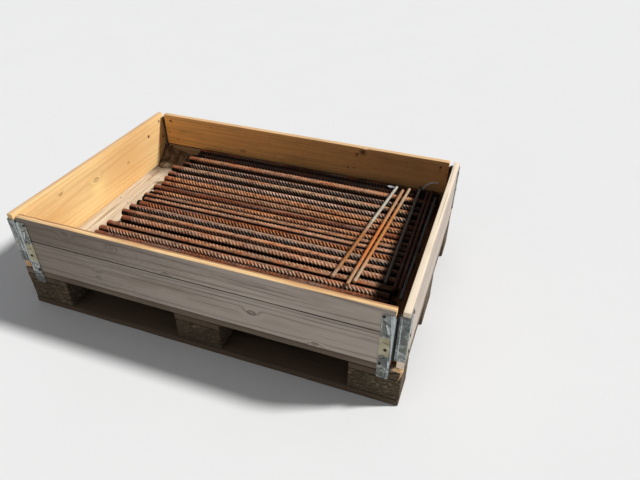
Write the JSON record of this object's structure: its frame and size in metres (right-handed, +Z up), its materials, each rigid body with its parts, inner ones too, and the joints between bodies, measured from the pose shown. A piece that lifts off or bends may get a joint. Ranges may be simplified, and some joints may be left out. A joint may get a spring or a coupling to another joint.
{
  "type": "rebar bundle",
  "caption": "Short ribbed steel reinforcing bars laid in layers inside a hinged wooden pallet collar on a flat block pallet, with a few thin rods across them.",
  "frame": {"origin": "middle of the footprint, on the ground under the pallet", "axes": "+X along the bars and the long sides, +Y from the front long side to the back one, +Z up"},
  "size_m": [1.2072, 0.8072, 0.339],
  "materials": {
    "rusty_bar": "rusted, hot rolled",
    "thin_rod": "lightly rusted",
    "galvanised_hinge": "weathered zinc",
    "collar_board": "sawn pine, weathered outside",
    "pallet_board": "sawn, weathered",
    "pallet_block": "pressed chips, weathered",
    "floor_sheet": "thin plywood, dusty"
  },
  "bodies": {
    "root": {"back_lower_board": "collar_board", "back_upper_board": "collar_board", "bars_bottom_layer": "rusty_bar", "bars_middle_layer": "rusty_bar", "bars_top_layer": "rusty_bar", "block_back_left": "pallet_block", "block_back_middle": "pallet_block", "block_back_right": "pallet_block", "block_front_left": "pallet_block", "block_front_middle": "pallet_block", "block_front_right": "pallet_block", "block_middle_left": "pallet_block", "block_middle_middle": "pallet_block", "block_middle_right": "pallet_block", "cross_board_left": "pallet_board", "cross_board_middle": "pallet_board", "cross_board_right": "pallet_board", "cross_rod_1": "thin_rod", "cross_rod_2": "thin_rod", "cross_rod_3": "thin_rod", "deck_board_back": "pallet_board", "deck_board_back_narrow": "pallet_board", "deck_board_front": "pallet_board", "deck_board_front_narrow": "pallet_board", "deck_board_middle": "pallet_board", "end_rod_1": "thin_rod", "end_rod_2": "thin_rod", "end_rod_3": "thin_rod", "end_rod_4": "thin_rod", "floor_sheet": "floor_sheet", "front_lower_board": "collar_board", "front_upper_board": "collar_board", "hinge_back_left_long_leaf": "galvanised_hinge", "hinge_back_left_pin": "galvanised_hinge", "hinge_back_left_short_leaf": "galvanised_hinge", "hinge_back_right_long_leaf": "galvanised_hinge", "hinge_back_right_pin": "galvanised_hinge", "hinge_back_right_short_leaf": "galvanised_hinge", "hinge_front_left_long_leaf": "galvanised_hinge", "hinge_front_left_pin": "galvanised_hinge", "hinge_front_left_short_leaf": "galvanised_hinge", "hinge_front_right_long_leaf": "galvanised_hinge", "hinge_front_right_pin": "galvanised_hinge", "hinge_front_right_short_leaf": "galvanised_hinge", "left_board": "collar_board", "right_board": "collar_board", "rivets_back_left": "galvanised_hinge", "rivets_back_right": "galvanised_hinge", "rivets_front_left": "galvanised_hinge", "rivets_front_right": "galvanised_hinge", "skid_back": "pallet_board", "skid_front": "pallet_board", "skid_middle": "pallet_board"}
  },
  "joints": []
}
